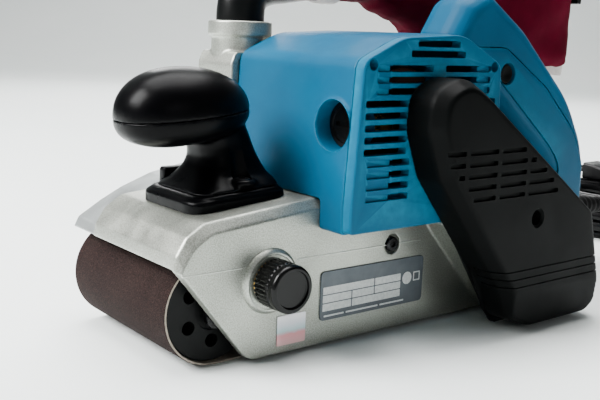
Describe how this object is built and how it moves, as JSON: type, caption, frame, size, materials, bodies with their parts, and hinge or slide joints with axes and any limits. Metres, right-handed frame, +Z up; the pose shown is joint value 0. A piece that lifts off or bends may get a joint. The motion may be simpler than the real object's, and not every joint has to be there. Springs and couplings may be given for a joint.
{
  "type": "handheld belt sander",
  "caption": "Handheld belt sander with cast frame, covered belt drive, front grip, rear trigger handle, swivelling dust bag and coiled mains cord.",
  "frame": {"origin": "middle of the sanding belt's flat run, on its working face", "axes": "+X forward in the working direction, +Y the operator's left (belt cover side), +Z up"},
  "size_m": [0.5995, 0.227, 0.2653],
  "materials": {
    "cast_frame": "satin silver-grey paint on die-cast aluminium",
    "guard_metal": "satin silver",
    "abrasive_belt": "brown abrasive grit on cloth",
    "cork": "matt cork",
    "bright_steel": "machined steel",
    "plate_label": "slate-grey printed plate, blank cells",
    "sticker_film": "blank white and pink film",
    "black_screw": "black oxide",
    "roller_metal": "turned aluminium",
    "rubber": "matt rubber",
    "dark_roller": "dark anodised aluminium",
    "knob_plastic": "black, semi-gloss",
    "teal_plastic": "teal moulded plastic, fine texture",
    "laminations": "stacked steel laminations",
    "copper": "enamelled copper wire",
    "black_plastic": "black moulded plastic, fine texture",
    "carbon": "carbon",
    "brass": "brass",
    "elbow_plastic": "smooth black",
    "bag_fabric": "dark maroon woven cloth",
    "grip_plastic": "smooth black, semi-gloss",
    "cord_jacket": "black rubber cable jacket"
  },
  "bodies": {
    "chassis": {"frame_casting": "cast_frame", "right_guard": "guard_metal", "sanding_belt": "abrasive_belt", "platen_pad": "cork", "platen_plate": "bright_steel", "nameplate": "plate_label", "sticker": "sticker_film", "frame_screw": "black_screw", "roller_bearing_left": "bright_steel", "roller_bearing_right": "bright_steel", "lever_pin": "bright_steel", "motor_housing": "teal_plastic", "motor_end_cover": "teal_plastic", "stator_core": "laminations", "field_winding": "copper", "motor_bearing_left": "bright_steel", "motor_bearing_right": "bright_steel", "carbon_brush_front": "carbon", "brush_holder_front": "brass", "brush_cap_front": "black_plastic", "carbon_brush_rear": "carbon", "brush_holder_rear": "brass", "brush_cap_rear": "black_plastic", "fan_case": "guard_metal", "dust_duct": "black_plastic", "drive_belt": "rubber", "belt_cover": "black_plastic", "belt_cover_screw": "black_screw", "handle_shell": "teal_plastic", "handle_cover": "teal_plastic", "switch_body": "black_plastic", "grip_cap": "grip_plastic", "grip_stem": "grip_plastic", "grip_base": "grip_plastic", "grip_screw": "bright_steel", "cord_guard": "rubber", "cord": "cord_jacket", "cord_coil": "cord_jacket", "plug": "cord_jacket"},
    "armature": {"motor_shaft": "bright_steel", "armature_core": "laminations", "armature_winding": "copper", "commutator": "copper", "fan": "black_plastic", "motor_pulley": "roller_metal"},
    "drive_roller": {"drive_roller": "roller_metal", "roller_sleeve": "rubber", "driven_pulley": "roller_metal"},
    "tension_slide": {"tension_stem": "bright_steel", "tension_spring": "bright_steel"},
    "roller_yoke": {"yoke": "bright_steel", "front_axle": "bright_steel"},
    "front_roller": {"front_roller": "dark_roller"},
    "tension_lever": {"tension_lever": "bright_steel"},
    "tracking_knob": {"tracking_knob": "knob_plastic"},
    "trigger": {"trigger": "black_plastic"},
    "lock_button": {"lock_button": "black_plastic"},
    "dust_outlet": {"dust_elbow": "elbow_plastic", "dust_bag": "bag_fabric", "bag_clip": "black_plastic"}
  },
  "joints": [
    {"name": "motor_spin", "type": "hinge", "parent": "chassis", "child": "armature", "pos_m": [-0.003, 0.04, 0.119], "axis": [0, 1, 0], "continuous": true},
    {"name": "drive_roller_spin", "type": "hinge", "parent": "chassis", "child": "drive_roller", "pos_m": [-0.10883, 0, 0.0284], "axis": [0, 1, 0], "continuous": true},
    {"name": "tension_slide", "type": "slide", "parent": "chassis", "child": "tension_slide", "axis": [1, 0, 0], "range_m": [-0.006, 0]},
    {"name": "roller_tilt", "type": "hinge", "parent": "tension_slide", "child": "roller_yoke", "pos_m": [0.068, 0, 0.0284], "axis": [0, 0, 1], "range_deg": [-0.4, 0.4]},
    {"name": "front_roller_spin", "type": "hinge", "parent": "roller_yoke", "child": "front_roller", "pos_m": [0.10883, 0, 0.0284], "axis": [0, 1, 0], "continuous": true},
    {"name": "tension_lever_turn", "type": "hinge", "parent": "chassis", "child": "tension_lever", "pos_m": [0.054, -0.044, 0.0284], "axis": [0, 0, 1], "range_deg": [0, 100]},
    {"name": "tracking_knob_turn", "type": "hinge", "parent": "chassis", "child": "tracking_knob", "pos_m": [0.0825, 0.07, 0.042], "axis": [0, 1, 0], "range_deg": [-180, 180]},
    {"name": "trigger_squeeze", "type": "hinge", "parent": "chassis", "child": "trigger", "pos_m": [-0.08697, 0.0295, 0.14484], "axis": [0, 1, 0], "range_deg": [0, 8], "stiffness_Nm_per_rad": 0.6},
    {"name": "lock_button_press", "type": "slide", "parent": "chassis", "child": "lock_button", "axis": [0, -1, 0], "range_m": [0, 0.003], "stiffness_N_per_m": 300},
    {"name": "dust_outlet_swivel", "type": "hinge", "parent": "chassis", "child": "dust_outlet", "pos_m": [0.035, -0.0415, 0.166], "axis": [0, 0, 1], "range_deg": [0, 100]}
  ],
  "couplings": [
    {"joint": "drive_roller_spin", "follows": "motor_spin", "ratio": 0.42529},
    {"joint": "front_roller_spin", "follows": "motor_spin", "ratio": 0.42529},
    {"joint": "tension_lever_turn", "follows": "tension_slide", "rad_per_m": -290.89},
    {"joint": "tracking_knob_turn", "follows": "roller_tilt", "ratio": 449.99}
  ]
}
